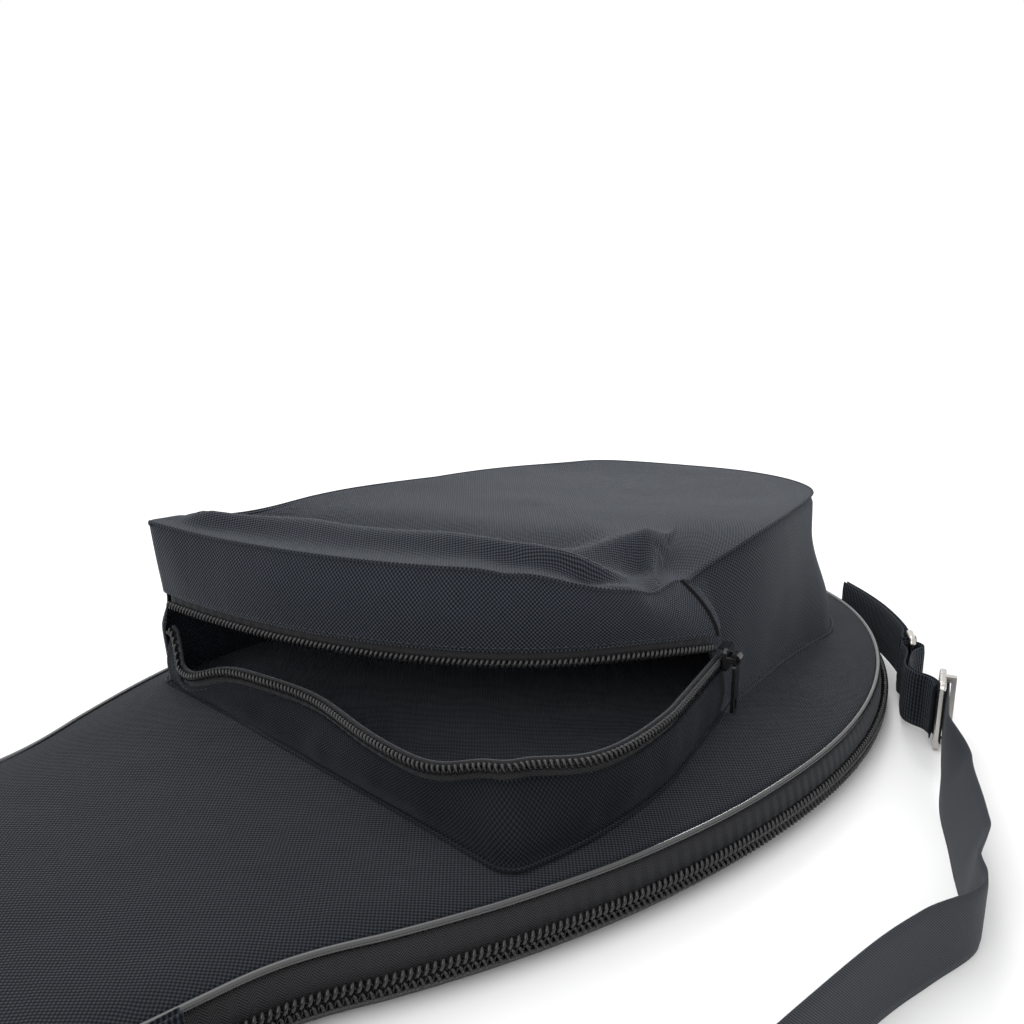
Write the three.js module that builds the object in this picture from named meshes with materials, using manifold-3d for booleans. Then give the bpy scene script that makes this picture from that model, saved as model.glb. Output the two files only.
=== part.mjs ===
// Full-length paddle case with a boxed ball pocket on its head, lying on its back, strap beside it.
// Millimetres. +X runs along the case from the handle end to the head's tip, +Z is up.
// Everything is drawn from the widest line of the head (x = 0); the finished group is then moved
// so that its origin is the bottom centre of the case without its loose strap.
import * as THREE from "three";
import { mergeVertices } from "three/addons/utils/BufferGeometryUtils.js";
import Module from "manifold-3d";

const wasm = await Module();
wasm.setup();

// ---------------------------------------------------------------- driving dimensions
const GAP = 0.3; // clearance kept between touching pieces
const FABRIC = 1.0; // coated woven fabric with its lining
const WEBBING = 1.4; // thickness of the strap webbing
const STRAP_WIDTH = 25;

const HEAD_LENGTH = 203; // widest line to the tip
const HEAD_HALF = 140; // half the width across the piping
const NECK = { x: -180, half: 99 }; // where the outline turns from the head into the handle
const SLEEVE = { x: -218, half: 85.2 }; // where the handle sleeve's straight sides begin
const BUTT = { x: -298, half: 76, corner: 26 }; // square handle end with round corners

const WALL_TOP = 22; // top face of the front panel
const PIPING_R = 1.6;
const PANEL_INSET = PIPING_R + GAP; // the panels end inside the piping
const FOAM = 2.5;
const SKIN = 0.8; // outer fabric of a panel
const LINING = 0.4;

const COIL = { bottom: 4.7, middle: 8.5, top: 12.3, inner: 2.4, outer: 5.4 };
const ZIP_END_X = BUTT.x + BUTT.corner + 14; // the tapes stop on the sleeve's straight sides
const COIL_TAIL = 13; // the back coil runs on this far, to where the closed slider stands

const POCKET = { mouthX: -133, half: 107, corner: 7, height: 73, zipEndX: 6, zipEndHalf: 94 };
const POCKET_SWELL = { x: -90, out: 9 }; // the sides swell towards here behind the mouth's corners
const POCKET_SIDE = { x: -50, half: 109 }; // the near side is straight from here to the zip's end
const POCKET_TAIL = { x: 18.6, half: 90.6 }; // and on past the zip's end, for the slider to park on
const POCKET_END = { x: 150, bulgeX: 62, bulgeHalf: 87, shoulderX: 118, shoulderHalf: 73 };
const POCKET_TOP = WALL_TOP + POCKET.height;
const FLAP_FOLD = 1.4; // play left along the fold that the flap hinges on
const FLAP_WALL = 27; // from the top panel down to the flap's zip tape
const LOWER_WALL = 19; // fabric above the front panel
const MOUTH_SAG = 9; // the lower lip hangs down in the middle of the mouth
const LIP = { tape: 8.9, coil: 3.6, coilDepth: 2.5, dropAtEnd: 7.5, dropReach: 60 };

const BAR = 3; // width of the metal frames' bars
const BAR_ROUND = 1; // rounding of their edges
const FRAME_CLEAR = 26; // inside height of the metal frames, for the webbing on edge
const FRAME_HEIGHT = FRAME_CLEAR + 2 * BAR;
const FRAME_CORNER = 3.4;
const SLOT_CORNER = 1.2;
const RING_LENGTH = 15;
const GLIDE_LENGTH = 21;
const WEB_BOTTOM = BAR + 0.5; // webbing threaded through the metal stands on the lower bar
const EYE = { tight: 3.3, roomy: 5.2, reach: 11 }; // webbing turned round a bar of a ring

// ---------------------------------------------------------------- materials
function material(color, roughness, metalness = 0) {
  return new THREE.MeshStandardMaterial({ color, roughness, metalness });
}
const oxford = material(0x23262d, 0.85);
const liningCloth = material(0x1a1b1e, 0.9);
const foam = material(0x3b3c40, 0.95);
const satinPiping = material(0x4a4b4e, 0.45);
const zipTape = material(0x2d2d30, 0.8);
const zipCoil = material(0x141416, 0.35);
const webbing = material(0x2c3036, 0.75);
const blackMetal = material(0x17181a, 0.4, 0.8);
const nickel = material(0xb9b4ab, 0.25, 1);

const paddleCase = new THREE.Group();

function add(name, geometry, look) {
  const mesh = new THREE.Mesh(geometry, look);
  mesh.name = name;
  paddleCase.add(mesh);
  return mesh;
}

// ---------------------------------------------------------------- geometry helpers
function signedVolume(geometry) {
  const p = geometry.attributes.position;
  const index = geometry.index.array;
  const [a, b, c] = [new THREE.Vector3(), new THREE.Vector3(), new THREE.Vector3()];
  let sum = 0;
  for (let i = 0; i < index.length; i += 3) {
    a.fromBufferAttribute(p, index[i]);
    b.fromBufferAttribute(p, index[i + 1]);
    c.fromBufferAttribute(p, index[i + 2]);
    sum += a.dot(b.cross(c)) / 6;
  }
  return sum;
}

// A closed body through rings of corresponding points, capped at both ends unless it is a loop.
function loft(rings, isLoop = false) {
  const sides = rings[0].length;
  const positions = rings.flat().flatMap((v) => [v.x, v.y, v.z]);
  const faces = [];
  const last = isLoop ? rings.length : rings.length - 1;
  for (let i = 0; i < last; i++) {
    const next = (i + 1) % rings.length;
    for (let j = 0; j < sides; j++) {
      const k = (j + 1) % sides;
      const [a, b, c, d] = [i * sides + j, i * sides + k, next * sides + k, next * sides + j];
      faces.push(a, b, c, a, c, d);
    }
  }
  if (!isLoop) {
    const end = (rings.length - 1) * sides;
    for (let j = 1; j < sides - 1; j++) {
      faces.push(0, j + 1, j);
      faces.push(end, end + j, end + j + 1);
    }
  }
  const geometry = new THREE.BufferGeometry();
  geometry.setAttribute("position", new THREE.Float32BufferAttribute(positions, 3));
  geometry.setIndex(faces);
  if (signedVolume(geometry) < 0) {
    for (let i = 0; i < faces.length; i += 3) {
      [faces[i + 1], faces[i + 2]] = [faces[i + 2], faces[i + 1]];
    }
    geometry.setIndex(faces);
  }
  return geometry;
}

function toSolid(geometry) {
  const bare = new THREE.BufferGeometry();
  bare.setAttribute("position", geometry.attributes.position);
  bare.setIndex(geometry.index);
  const merged = mergeVertices(bare, 1e-4);
  const triVerts = new Uint32Array(merged.index.array);
  const vertProperties = new Float32Array(merged.attributes.position.array);
  return new wasm.Manifold(new wasm.Mesh({ numProp: 3, vertProperties, triVerts }));
}

function join(...geometries) {
  const solid = geometries.map(toSolid).reduce((sum, part) => sum.add(part));
  const mesh = solid.getMesh();
  const geometry = new THREE.BufferGeometry();
  geometry.setAttribute("position", new THREE.BufferAttribute(mesh.vertProperties, 3));
  geometry.setIndex(new THREE.BufferAttribute(mesh.triVerts, 1));
  return geometry;
}

function plate(outline, bottom, top) {
  const shape = new THREE.Shape(outline);
  const solid = new THREE.ExtrudeGeometry(shape, { depth: top - bottom, bevelEnabled: false });
  return solid.translate(0, 0, bottom);
}

function box(width, depth, height, x, y, z) {
  return new THREE.BoxGeometry(width, depth, height).translate(x, y, z);
}

// Unit normals of a line of points, on the right-hand side of the way it runs.
function normalsOf(points, isLoop) {
  const count = points.length;
  return points.map((_, i) => {
    const before = points[isLoop ? (i + count - 1) % count : Math.max(i - 1, 0)];
    const after = points[isLoop ? (i + 1) % count : Math.min(i + 1, count - 1)];
    const along = after.clone().sub(before).normalize();
    return new THREE.Vector2(along.y, -along.x);
  });
}

function offsetLine(points, distance, isLoop) {
  const normals = normalsOf(points, isLoop);
  return points.map((p, i) => p.clone().addScaledVector(normals[i], distance));
}

// A strip that follows a line: section(point) lists its corners there as [offset, z].
function strip(points, section, isLoop = false) {
  const normals = normalsOf(points, isLoop);
  const rings = points.map((p, i) =>
    section(p).map(([offset, z]) => {
      const corner = p.clone().addScaledVector(normals[i], offset);
      return new THREE.Vector3(corner.x, corner.y, z);
    }),
  );
  return loft(rings, isLoop);
}

function circleSection(radius, z, sides) {
  const corners = Array.from({ length: sides }, (_, i) => {
    const angle = (2 * Math.PI * i) / sides;
    return [radius * Math.cos(angle), z + radius * Math.sin(angle)];
  });
  return () => corners;
}

// ---------------------------------------------------------------- outlines
function flip(points) {
  return points.map((p) => new THREE.Vector2(p.x, -p.y)).reverse();
}

// The near half of the case, along the centre of its piping: round the butt, then along the zip.
function buttHalf() {
  const cornerHalf = BUTT.half + BUTT.corner * 0.1;
  const slope = (SLEEVE.half - cornerHalf) / (SLEEVE.x - BUTT.x - BUTT.corner);
  const path = new THREE.Path();
  path.moveTo(BUTT.x, 0);
  path.lineTo(BUTT.x, -BUTT.half + BUTT.corner);
  path.quadraticCurveTo(BUTT.x, -BUTT.half, BUTT.x + BUTT.corner, -cornerHalf);
  path.lineTo(ZIP_END_X, -cornerHalf - slope * (ZIP_END_X - BUTT.x - BUTT.corner));
  return path.getSpacedPoints(14);
}
function zipHalf(start) {
  const path = new THREE.Path();
  path.moveTo(start.x, start.y);
  path.lineTo(SLEEVE.x, -SLEEVE.half);
  path.bezierCurveTo(-205, -87, -194, -91.5, NECK.x, -NECK.half);
  path.bezierCurveTo(-135, -120, -75, -HEAD_HALF, 0, -HEAD_HALF);
  path.absellipse(0, 0, HEAD_LENGTH, HEAD_HALF, -Math.PI / 2, 0, false);
  return path.getSpacedPoints(42);
}

const buttNear = buttHalf();
const zipNear = zipHalf(buttNear.at(-1));
const buttLine = [...flip(buttNear), ...buttNear.slice(1)];
const nearHalf = [...buttNear.slice(0, -1), ...zipNear];
const farHalf = [...flip(zipNear).slice(1), ...flip(buttNear).slice(1, -1)];
const caseLoop = [...nearHalf, ...farHalf];
const sleeveWay = zipNear[1].clone().sub(zipNear[0]).normalize();
const zipLine = lengthened([...zipNear, ...flip(zipNear).slice(1)], -GAP);
const tailedZipLine = lengthened(zipLine, COIL_TAIL);

// The same line with both ends moved outwards along themselves.
function lengthened(points, distance) {
  const line = points.map((p) => p.clone());
  line[0].addScaledVector(line[0].clone().sub(line[1]).normalize(), distance);
  line.at(-1).addScaledVector(line.at(-1).clone().sub(line.at(-2)).normalize(), distance);
  return line;
}

// The pocket's zip line: from the far corner across the mouth, round the near corner, along the side.
function pocketFront() {
  const { mouthX, half, corner, zipEndX, zipEndHalf } = POCKET;
  const path = new THREE.Path();
  path.moveTo(mouthX, half - corner);
  path.lineTo(mouthX, -half + corner);
  path.quadraticCurveTo(mouthX, -half, mouthX + corner, -half - 0.5);
  path.quadraticCurveTo(POCKET_SWELL.x, -half - POCKET_SWELL.out, POCKET_SIDE.x, -POCKET_SIDE.half);
  path.lineTo(zipEndX, -zipEndHalf);
  return path.getSpacedPoints(36);
}

// The rest of the pocket: from the zip's end along the near side, round the tip, back along the far side.
function pocketRear() {
  const { mouthX, half, corner, zipEndX, zipEndHalf } = POCKET;
  const { x, bulgeX, bulgeHalf, shoulderX, shoulderHalf } = POCKET_END;
  const path = new THREE.Path();
  path.moveTo(zipEndX + GAP, -zipEndHalf);
  path.lineTo(POCKET_TAIL.x, -POCKET_TAIL.half);
  path.quadraticCurveTo(bulgeX, -bulgeHalf, shoulderX, -shoulderHalf);
  path.bezierCurveTo(140, -67, x, -38, x, 0);
  path.bezierCurveTo(x, 38, 140, 67, shoulderX, shoulderHalf);
  path.quadraticCurveTo(bulgeX, bulgeHalf, POCKET_TAIL.x, POCKET_TAIL.half);
  path.lineTo(POCKET_SIDE.x, POCKET_SIDE.half);
  path.quadraticCurveTo(POCKET_SWELL.x, half + POCKET_SWELL.out, mouthX + corner, half + 0.5);
  path.quadraticCurveTo(mouthX, half, mouthX, half - corner + 4 * GAP);
  return path.getSpacedPoints(56);
}

const pocketFrontLine = pocketFront();
const pocketRearLine = pocketRear();
const foldEnd = { far: pocketRearLine.at(-1), near: pocketRearLine[0] };
const foldWay = foldEnd.near.clone().sub(foldEnd.far).normalize();
const foldOut = new THREE.Vector2(foldWay.y, -foldWay.x);

// The open flap is pushed in: its edge runs in one curve from the far corner to the zip's end.
function flapCurve() {
  const inFront = (p) => p.clone().addScaledVector(foldOut, FLAP_FOLD);
  const start = inFront(foldEnd.far).addScaledVector(foldWay, 1.5);
  const end = inFront(foldEnd.near).addScaledVector(foldWay, -8);
  const path = new THREE.Path();
  path.moveTo(start.x, start.y);
  path.bezierCurveTo(-119, 20, -86, -80, end.x, end.y);
  return path.getSpacedPoints(30);
}
const flapLine = flapCurve();

// ---------------------------------------------------------------- shells
function panelStack(prefix, outerZ, direction) {
  const cover = offsetLine(caseLoop, -PANEL_INSET, true);
  const inner = offsetLine(caseLoop, -PANEL_INSET - 2, true);
  const slab = (from, thickness, outline) => {
    const a = outerZ + direction * from;
    const b = outerZ + direction * (from + thickness);
    return plate(outline, Math.min(a, b), Math.max(a, b));
  };
  add(`${prefix}_panel`, slab(0, SKIN, cover), oxford);
  add(`${prefix}_foam`, slab(SKIN + GAP, FOAM, inner), foam);
  add(`${prefix}_lining`, slab(SKIN + FOAM + 2 * GAP, LINING, inner), liningCloth);
}

const PIPING_LOW = PIPING_R;
const PIPING_HIGH = WALL_TOP - 0.6;
const WALL_LOW = PIPING_LOW + PIPING_R + GAP; // the side wall stands between the two pipings
const WALL_HIGH = PIPING_HIGH - PIPING_R - GAP;

function pipings() {
  const cord = (z) => strip(caseLoop, circleSection(PIPING_R, z, 8), true);
  add("back_piping", cord(PIPING_LOW), satinPiping);
  add("front_piping", cord(PIPING_HIGH), satinPiping);
}

function mainZip() {
  const { inner, outer, bottom, middle, top } = COIL;
  const edge = inner + SKIN;
  const frontTape = [[0, WALL_HIGH], [-SKIN, WALL_HIGH], [inner, top + GAP], [edge, top + GAP]];
  const backTape = [[edge, bottom - GAP], [inner, bottom - GAP], [-SKIN, WALL_LOW], [0, WALL_LOW]];
  add("front_zip_tape", strip(zipLine, () => frontTape), zipTape);
  add("back_zip_tape", strip(zipLine, () => backTape), zipTape);
  const coil = (low, high) => () => [[inner, low], [outer, low], [outer, high], [inner, high]];
  add("front_zip_coil", strip(zipLine, coil(middle + GAP / 2, top)), zipCoil);
  add("back_zip_coil", strip(tailedZipLine, coil(bottom, middle - GAP / 2)), zipCoil);
}

// The zip doesn't pass the butt: a fabric wall closes it, and the front shell folds on its top edge.
function buttGusset() {
  const wall = [[0, WALL_LOW], [FABRIC, WALL_LOW], [FABRIC, WALL_HIGH], [0, WALL_HIGH]];
  add("butt_gusset", strip(buttLine, () => wall), oxford);
}

// ---------------------------------------------------------------- ball pocket
function wallSection(lowZ, highZ, inner = -FABRIC, outer = 0) {
  return (p) => [[inner, lowZ(p)], [outer, lowZ(p)], [outer, highZ(p)], [inner, highZ(p)]];
}

// Height of the lower lip: it hangs between the two corners of the mouth.
const LOWER_TAPE_Z = WALL_TOP + GAP + LOWER_WALL + GAP;
function lowerSag(p) {
  const across = (POCKET.half - p.y) / (2 * POCKET.half);
  return p.x > POCKET.mouthX + POCKET.corner ? 0 : MOUTH_SAG * Math.sin(Math.PI * across) ** 2;
}
const lowerLip = (p) => LOWER_TAPE_Z + LIP.tape - lowerSag(p);

// Depth of the flap's lip: it comes down to meet the lower one where the zip ends.
function flapDrop(p) {
  const away = Math.min(p.distanceTo(foldEnd.near) / LIP.dropReach, 1);
  return LIP.dropAtEnd * (1 - away) ** 2;
}
const flapTapeTop = (p) => POCKET_TOP - FLAP_WALL - flapDrop(p);
const flapLip = (p) => flapTapeTop(p) - LIP.tape;

function pocketLower() {
  const line = pocketFrontLine;
  const tapeLow = (p) => lowerLip(p) - LIP.tape;
  const coilLow = (p) => lowerLip(p) - LIP.coil;
  const coilInner = GAP;
  const coilOuter = GAP + LIP.coilDepth;
  const tail = lengthened(line, SLIDER.length).at(-1);
  const wall = wallSection(() => WALL_TOP + GAP, (p) => tapeLow(p) - GAP);
  add("pocket_lower_wall", strip(line, wall), oxford);
  add("pocket_lower_tape", strip(line, wallSection(tapeLow, lowerLip)), zipTape);
  const coil = wallSection(coilLow, lowerLip, coilInner, coilOuter);
  add("pocket_lower_coil", strip([...line.slice(1), tail], coil), zipCoil);
}

function pocketBox() {
  const wallTop = () => POCKET_TOP - FABRIC - GAP;
  add("pocket_rear_wall", strip(pocketRearLine, wallSection(() => WALL_TOP + GAP, wallTop)), oxford);
  add("pocket_top", plate(pocketRearLine, POCKET_TOP - FABRIC, POCKET_TOP), oxford);
}

function flap() {
  const seamZ = () => POCKET_TOP - FABRIC - GAP;
  const coilTop = (p) => flapLip(p) + LIP.coil;
  add("flap_top", plate(flapLine, POCKET_TOP - FABRIC, POCKET_TOP), oxford);
  add("flap_wall", strip(flapLine, wallSection((p) => flapTapeTop(p) + GAP, seamZ)), oxford);
  add("flap_zip_tape", strip(flapLine, wallSection(flapLip, flapTapeTop)), zipTape);
  const coil = wallSection(flapLip, coilTop, GAP, GAP + LIP.coilDepth);
  add("flap_zip_coil", strip(flapLine.slice(1), coil), zipCoil);
}

// ---------------------------------------------------------------- zip sliders
// A slider drawn at the origin: it runs along X, its outer face looks along -Y, its pull hangs down.
const SLIDER = {
  length: 11, plate: 1.4, corner: 2.2, bar: 0.8, gap: 6, post: 3.5, postWidth: 1.6, postHeight: 2.2,
  flange: 0.8, flangeLength: 8,
};
const PULL = {
  length: 24, width: 6, thickness: 1.4, corner: 2.4, eye: 1.3, knuckle: 2.3, knuckleWidth: 4.6, slot: 2.4,
};
const SINK = 0.2; // how far joined pieces reach into each other
const BLADE_SINK = 0.6; // and a pull's blade into its knuckle
const MAIN_PARK = 7; // the closed main slider stands this far past its zip's end
const MAIN_PULL_LIFT = THREE.MathUtils.degToRad(72); // its pull lies out on the ground
const SLIDER_PARK = -2; // the pocket's slider stops this far past the zip's end, so just short of it
const PULL_AXIS_Y = -SLIDER.plate - SLIDER.post + SLIDER.bar;

function roundedPlate(width, height, corner, depth, holes = [], round = 0) {
  const shape = new THREE.Shape();
  const [x, y] = [width / 2, height / 2];
  shape.moveTo(-x + corner, -y);
  shape.lineTo(x - corner, -y);
  shape.absarc(x - corner, -y + corner, corner, -Math.PI / 2, 0, false);
  shape.absarc(x - corner, y - corner, corner, 0, Math.PI / 2, false);
  shape.absarc(-x + corner, y - corner, corner, Math.PI / 2, Math.PI, false);
  shape.absarc(-x + corner, -y + corner, corner, Math.PI, 1.5 * Math.PI, false);
  shape.holes.push(...holes);
  const flat = depth - 2 * round;
  const bevel = { bevelEnabled: round > 0, bevelSize: round, bevelThickness: round, bevelOffset: -round };
  const detail = { curveSegments: 6, bevelSegments: 3 };
  const solid = new THREE.ExtrudeGeometry(shape, { depth: flat, ...detail, ...bevel });
  return solid.translate(0, 0, -flat / 2).rotateX(Math.PI / 2);
}

function sliderBody(height, reach) {
  const { length, corner, plate: face, flange, flangeLength, post, postWidth, postHeight, bar, gap } = SLIDER;
  const cover = roundedPlate(length, height, corner, face).translate(0, -face / 2, 0);
  const flangeZ = height / 2 - flange / 2;
  const postX = gap / 2 + postWidth / 2;
  const makeFlange = (side) => box(flangeLength, reach + SINK, flange, 0, (reach - SINK) / 2, side * flangeZ);
  const postY = -face - (post - SINK) / 2;
  const makePost = (side) => box(postWidth, post + SINK, postHeight, side * postX, postY, 0);
  const flanges = [-1, 1].map(makeFlange);
  const posts = [-1, 1].map(makePost);
  const axle = new THREE.CylinderGeometry(bar, bar, gap + postWidth, 12);
  axle.rotateZ(Math.PI / 2).translate(0, PULL_AXIS_Y, 0);
  return join(cover, ...flanges, ...posts, axle);
}

function sliderPull() {
  const { length, width, thickness, corner, eye, knuckle, knuckleWidth, slot } = PULL;
  const ring = new THREE.Shape().absarc(0, 0, knuckle, 0, 2 * Math.PI, false);
  ring.holes.push(new THREE.Path().absarc(0, 0, eye, 0, 2 * Math.PI, true));
  const solid = { depth: knuckleWidth, bevelEnabled: false, curveSegments: 10 };
  const turned = new THREE.ExtrudeGeometry(ring, solid);
  turned.translate(0, 0, -knuckleWidth / 2).rotateY(Math.PI / 2);
  const bladeLength = length - knuckle + BLADE_SINK;
  const low = -bladeLength / 2 + width / 2;
  const hole = new THREE.Path().absarc(0, low, slot / 2, Math.PI, 2 * Math.PI, false);
  hole.absarc(0, low + slot, slot / 2, 0, Math.PI, false);
  const blade = roundedPlate(width, bladeLength, corner, thickness, [hole]);
  return join(turned, blade.translate(0, 0, -knuckle + BLADE_SINK - bladeLength / 2));
}

// Puts a slider on a zip, its back against the coil, and its pull on its bar, lifted by an angle.
function zipSlider(prefix, coilHeight, reach, place, z, turn, lift) {
  const height = coilHeight + 2 * (GAP + SLIDER.flange);
  const slider = add(`${prefix}_slider`, sliderBody(height, reach), blackMetal);
  slider.position.set(place.x, place.y, z);
  slider.rotation.z = turn;
  const pull = add(`${prefix}_pull`, sliderPull().rotateX(-lift), blackMetal);
  const out = new THREE.Vector2(0, PULL_AXIS_Y).rotateAround(new THREE.Vector2(), turn);
  pull.position.set(place.x + out.x, place.y + out.y, z);
  pull.rotation.z = turn;
}

function sliders() {
  const main = buttNear.at(-1).clone().addScaledVector(sleeveWay, -MAIN_PARK);
  const sleeveOut = new THREE.Vector2(sleeveWay.y, -sleeveWay.x);
  main.addScaledVector(sleeveOut, COIL.outer + GAP);
  main.y = -main.y;
  const mainReach = COIL.outer + GAP - COIL.inner - SKIN - 2 * GAP;
  const mainTurn = Math.PI - sleeveWay.angle();
  zipSlider("main", COIL.top - COIL.bottom, mainReach, main, COIL.middle, mainTurn, MAIN_PULL_LIFT);

  const [before, end] = pocketFrontLine.slice(-2);
  const way = end.clone().sub(before).normalize();
  const out = new THREE.Vector2(way.y, -way.x);
  const place = end.clone().addScaledVector(way, SLIDER_PARK).addScaledVector(out, LIP.coilDepth + 2 * GAP);
  const z = LOWER_TAPE_Z + LIP.tape + GAP;
  zipSlider("pocket", 2 * LIP.coil + 2 * GAP, LIP.coilDepth, place, z, way.angle(), 0);
}

// ---------------------------------------------------------------- strap and its metal
// A flat metal frame on edge: it runs along X and stands on the ground, with one slot or two.
function metalFrame(length, slots) {
  const slotLength = (length - BAR * (slots + 1)) / slots;
  const corner = SLOT_CORNER;
  const holes = Array.from({ length: slots }, (_, i) => {
    const left = -length / 2 + BAR + i * (slotLength + BAR);
    const hole = new THREE.Path();
    hole.moveTo(left + corner, -FRAME_CLEAR / 2);
    hole.absarc(left + corner, FRAME_CLEAR / 2 - corner, corner, Math.PI, Math.PI / 2, true);
    hole.absarc(left + slotLength - corner, FRAME_CLEAR / 2 - corner, corner, Math.PI / 2, 0, true);
    hole.absarc(left + slotLength - corner, -FRAME_CLEAR / 2 + corner, corner, 0, -Math.PI / 2, true);
    hole.absarc(left + corner, -FRAME_CLEAR / 2 + corner, corner, -Math.PI / 2, -Math.PI, true);
    return hole;
  });
  const frame = roundedPlate(length, FRAME_HEIGHT, FRAME_CORNER, BAR, holes, BAR_ROUND);
  return frame.translate(0, 0, FRAME_HEIGHT / 2);
}

function onEdge(points, bottomAt) {
  const half = WEBBING / 2;
  const section = (p) => {
    const bottom = bottomAt(p);
    const top = bottom + STRAP_WIDTH;
    return [[-half, bottom], [half, bottom], [half, top], [-half, top]];
  };
  return strip(points, section);
}

// Webbing that comes along a line, turns round a bar at the line's end and goes back beside itself.
function eyeLoop(points, radius) {
  const layer = WEBBING / 2 + GAP;
  const distances = points.map((p) => p.distanceTo(points.at(-1)));
  const spread = (i) => THREE.MathUtils.lerp(radius, layer, Math.min(distances[i] / EYE.reach, 1));
  const normals = normalsOf(points, false);
  const side = (sign) => points.map((p, i) => p.clone().addScaledVector(normals[i], sign * spread(i)));
  const end = points.at(-1);
  const forward = end.clone().sub(points.at(-2)).normalize();
  const start = normals.at(-1).angle();
  const turn = Math.sign(normals.at(-1).cross(forward));
  const round = Array.from({ length: 7 }, (_, i) => {
    const angle = start + (turn * Math.PI * (i + 1)) / 8;
    return new THREE.Vector2(end.x + radius * Math.cos(angle), end.y + radius * Math.sin(angle));
  });
  return onEdge([...side(1), ...round, ...side(-1).reverse()], () => WEB_BOTTOM);
}

function smoothLine(points, count) {
  return new THREE.SplineCurve(points.map(([x, y]) => new THREE.Vector2(x, y))).getSpacedPoints(count);
}

function placeFrame(name, geometry, from, way) {
  const mesh = add(name, geometry, nickel);
  mesh.position.set(from.x, from.y, 0);
  mesh.rotation.z = way.angle();
}

// Upper end: a tab sewn in beside the tip, a ring, a doubled loop, and the adjuster on the strap.
// The strap folds sharply once and lies in a double bend before its lower end at the sleeve.
const TAB_ROUTE = [[194, -61], [184, -76], [172, -91], [159, -104], [147, -114], [136, -121]];
const LOOP_ROUTE = [[82, -149.9], [89, -147.3], [95, -143], [103, -135.5], [115, -130], [125.6, -127]];
const STRAP_ROUTE = [
  [102, -153], [91, -157], [58, -169], [34, -177.7], [10, -190], [-6, -198],
  [-22, -207], [-33, -215], [-43, -216.5], [-64, -212], [-91, -207], [-143, -202],
  [-193, -197], [-243, -190], [-293, -180], [-328, -168], [-341, -154], [-330, -143],
  [-298, -141], [-262, -139], [-236, -134], [-227, -124], [-237, -115], [-262, -114],
  [-290, -118], [-313, -120], [-324, -113.5], [-318, -107], [-307, -103],
];
const LOWER_TAB_ROUTE = [[-236, -91.5], [-246, -91], [-256, -91], [-266, -91]];
const LOWER_LOOP_ROUTE = [[-304, -101.5], [-297, -97.7], [-290, -94.8], [-284, -93.2], [-277.9, -92.5]];
const GLIDE_TRAVEL = 20;

function ringBetween(name, tabEnd, loopEnd) {
  const way = loopEnd.clone().sub(tabEnd).normalize();
  const middle = tabEnd.clone().addScaledVector(way, (RING_LENGTH - BAR) / 2);
  placeFrame(name, metalFrame(RING_LENGTH, 1), middle, way);
}

function upperEnd() {
  const tab = smoothLine(TAB_ROUTE, 12);
  const loop = smoothLine(LOOP_ROUTE, 14);
  add("anchor_tab", eyeLoop(tab, EYE.tight), webbing);
  add("strap_loop", eyeLoop(loop, EYE.roomy), webbing);
  ringBetween("anchor_ring", tab.at(-1), loop.at(-1));
}

function lowerEnd() {
  const tab = smoothLine(LOWER_TAB_ROUTE, 6);
  const loop = smoothLine(LOWER_LOOP_ROUTE, 10);
  add("lower_tab", eyeLoop(tab, EYE.tight), webbing);
  add("strap_end_loop", eyeLoop(loop, EYE.roomy), webbing);
  ringBetween("lower_ring", tab.at(-1), loop.at(-1));
}

// The adjuster's middle bar stands proud of its frame, so the strap runs straight between the two.
const PROUD_BAR = 2;
const LUG = { height: 2.6, sink: 0.75 }; // they join the middle bar to the frame above and below the strap
function adjuster(way, start) {
  const offset = WEBBING / 2 + GAP;
  const frame = metalFrame(GLIDE_LENGTH, 1).translate(0, -offset - BAR / 2, 0);
  const bar = box(BAR, PROUD_BAR, FRAME_HEIGHT, 0, offset + PROUD_BAR / 2, FRAME_HEIGHT / 2);
  const lug = (z) => box(BAR, 2 * (offset + LUG.sink), LUG.height, 0, 0, z);
  const glide = join(frame, bar, lug(LUG.height / 2), lug(FRAME_HEIGHT - LUG.height / 2));
  placeFrame("strap_adjuster", glide, start.clone().addScaledVector(way, GLIDE_LENGTH / 2), way);
}

function looseStrap() {
  const route = smoothLine(STRAP_ROUTE, 76);
  const way = new THREE.Vector2(...STRAP_ROUTE[1]).sub(new THREE.Vector2(...STRAP_ROUTE[0])).normalize();
  const threaded = GLIDE_LENGTH + GLIDE_TRAVEL;
  const bottomAt = (p) => {
    const down = THREE.MathUtils.smoothstep(p.distanceTo(route[0]), threaded, 2 * threaded);
    return THREE.MathUtils.lerp(WEB_BOTTOM, GAP, down);
  };
  add("strap", onEdge(route, bottomAt), webbing);
  adjuster(way, route[0]);
}

// ---------------------------------------------------------------- assembly
panelStack("back", 0, 1);
panelStack("front", WALL_TOP, -1);
pipings();
mainZip();
buttGusset();
pocketLower();
pocketBox();
flap();
sliders();
upperEnd();
lowerEnd();
looseStrap();

// The origin: bottom centre of the case and its metal, without the strap that lies beside it.
const STRAP_PIECES = ["strap", "strap_adjuster", "strap_loop", "strap_end_loop"];
const bounds = new THREE.Box3();
for (const mesh of paddleCase.children) {
  mesh.updateMatrixWorld(true);
  if (!STRAP_PIECES.includes(mesh.name)) bounds.expandByObject(mesh);
}
const middle = bounds.getCenter(new THREE.Vector3());
paddleCase.position.set(-middle.x, -middle.y, -bounds.min.z);

export default paddleCase;
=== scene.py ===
"""Paddle case: the fabric, zips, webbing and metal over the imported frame, on a plain pale floor."""
import math

import bmesh
import bpy
import numpy as np
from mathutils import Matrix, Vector, noise


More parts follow.
